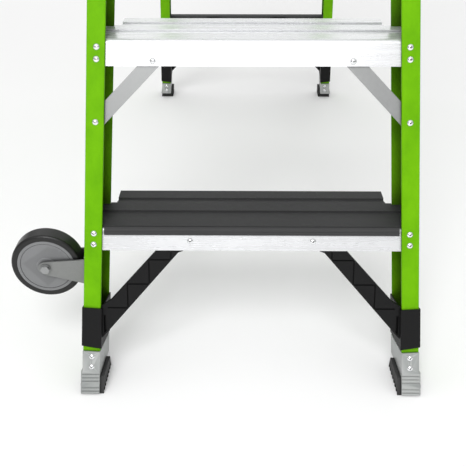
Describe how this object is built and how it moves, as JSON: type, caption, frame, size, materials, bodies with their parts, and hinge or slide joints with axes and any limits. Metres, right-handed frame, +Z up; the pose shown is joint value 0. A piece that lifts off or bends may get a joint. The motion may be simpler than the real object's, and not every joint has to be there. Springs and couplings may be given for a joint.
{
  "type": "step ladder",
  "caption": "Tall folding step ladder with green fibreglass channel rails, aluminium steps, moulded corner braces on all four feet and a side wheel.",
  "frame": {"origin": "on the floor, under the middle of the opened ladder's bounding box", "axes": "+Z up, -Y towards the person climbing, X across the steps; the wheel is on the -X side"},
  "size_m": [0.7204, 1.5961, 2.3349],
  "materials": {
    "fibreglass": "green pultruded fibreglass, satin gloss",
    "aluminium": "bright mill-finish extrusion",
    "tread_cover": "charcoal ribbed non-slip cover",
    "moulding": "black fine-textured moulding",
    "cast_shoe": "satin silver casting",
    "pad_rubber": "dark grey rubber",
    "dark_bar": "dark charcoal coating",
    "tyre_rubber": "black rubber tread",
    "hub_grey": "mid grey moulded hub",
    "rivet_metal": "bright rivets",
    "zinc": "zinc-plated steel"
  },
  "bodies": {
    "front_section": {"front_rail_left": "fibreglass", "front_rail_right": "fibreglass", "step_1": "aluminium", "step_2": "aluminium", "step_3": "aluminium", "step_4": "aluminium", "step_5": "aluminium", "step_6": "aluminium", "step_7": "aluminium", "step_1_tread": "tread_cover", "step_braces_left": "zinc", "step_braces_right": "zinc", "corner_brace_front_left": "moulding", "corner_brace_front_right": "moulding", "shoe_front_left": "cast_shoe", "shoe_front_right": "cast_shoe", "foot_pad_front_left": "pad_rubber", "foot_pad_front_right": "pad_rubber", "step_rivets": "rivet_metal", "brace_rivets": "rivet_metal", "shoe_rivets_front": "rivet_metal", "top_cap": "moulding", "cap_rivets": "rivet_metal", "hinge_bolts": "zinc", "hinge_nuts": "zinc", "spreader_brackets_front": "zinc", "spreader_pins_front": "zinc", "wheel_bracket": "zinc", "wheel_bracket_bolts": "zinc", "wheel_axle": "zinc", "wheel_axle_nut": "zinc"},
    "rear_section": {"rear_rail_left": "fibreglass", "rear_rail_right": "fibreglass", "rear_bar_1": "dark_bar", "rear_bar_2": "dark_bar", "rear_bar_3": "dark_bar", "rear_bar_4": "dark_bar", "corner_brace_rear_left": "moulding", "corner_brace_rear_right": "moulding", "shoe_rear_left": "cast_shoe", "shoe_rear_right": "cast_shoe", "foot_pad_rear_left": "pad_rubber", "foot_pad_rear_right": "pad_rubber", "rear_bar_rivets": "rivet_metal", "shoe_rivets_rear": "rivet_metal", "spreader_brackets_rear": "zinc", "spreader_pins_rear": "zinc"},
    "wheel": {"tyre": "tyre_rubber", "wheel_hub": "hub_grey", "wheel_bush": "zinc"},
    "spreader_front_left": {"spreader_front_left": "zinc"},
    "spreader_front_right": {"spreader_front_right": "zinc"},
    "spreader_rear_left": {"spreader_rear_left": "zinc"},
    "spreader_rear_right": {"spreader_rear_right": "zinc"}
  },
  "joints": [
    {"name": "fold", "type": "hinge", "parent": "front_section", "child": "rear_section", "pos_m": [0.0579, 0.02621, 2.2861], "axis": [-1, 0, 0], "range_deg": [0, 34.55]},
    {"name": "wheel_spin", "type": "hinge", "parent": "front_section", "child": "wheel", "pos_m": [-0.2981, -0.69002, 0.212], "axis": [0, 1, 0], "continuous": true},
    {"name": "spreader_front_left_turn", "type": "hinge", "parent": "front_section", "child": "spreader_front_left", "pos_m": [-0.16193, -0.30689, 1.28516], "axis": [0.9984, -0.0165, -0.055], "range_deg": [0, 71.57]},
    {"name": "spreader_front_right_turn", "type": "hinge", "parent": "front_section", "child": "spreader_front_right", "pos_m": [0.27773, -0.30689, 1.28516], "axis": [0.9984, 0.0165, 0.055], "range_deg": [0, 71.57]},
    {"name": "spreader_rear_left_turn", "type": "hinge", "parent": "rear_section", "child": "spreader_rear_left", "pos_m": [-0.16404, 0.34563, 1.28117], "axis": [-0.9984, -0.0176, 0.0546], "range_deg": [0, 69.77]},
    {"name": "spreader_rear_right_turn", "type": "hinge", "parent": "rear_section", "child": "spreader_rear_right", "pos_m": [0.27984, 0.34563, 1.28117], "axis": [-0.9984, 0.0176, -0.0546], "range_deg": [0, 69.77]}
  ],
  "couplings": [
    {"joint": "spreader_front_left_turn", "follows": "fold", "ratio": 2.0599},
    {"joint": "spreader_front_right_turn", "follows": "fold", "ratio": 2.0599},
    {"joint": "spreader_rear_left_turn", "follows": "fold", "ratio": 2.0078},
    {"joint": "spreader_rear_right_turn", "follows": "fold", "ratio": 2.0078}
  ]
}
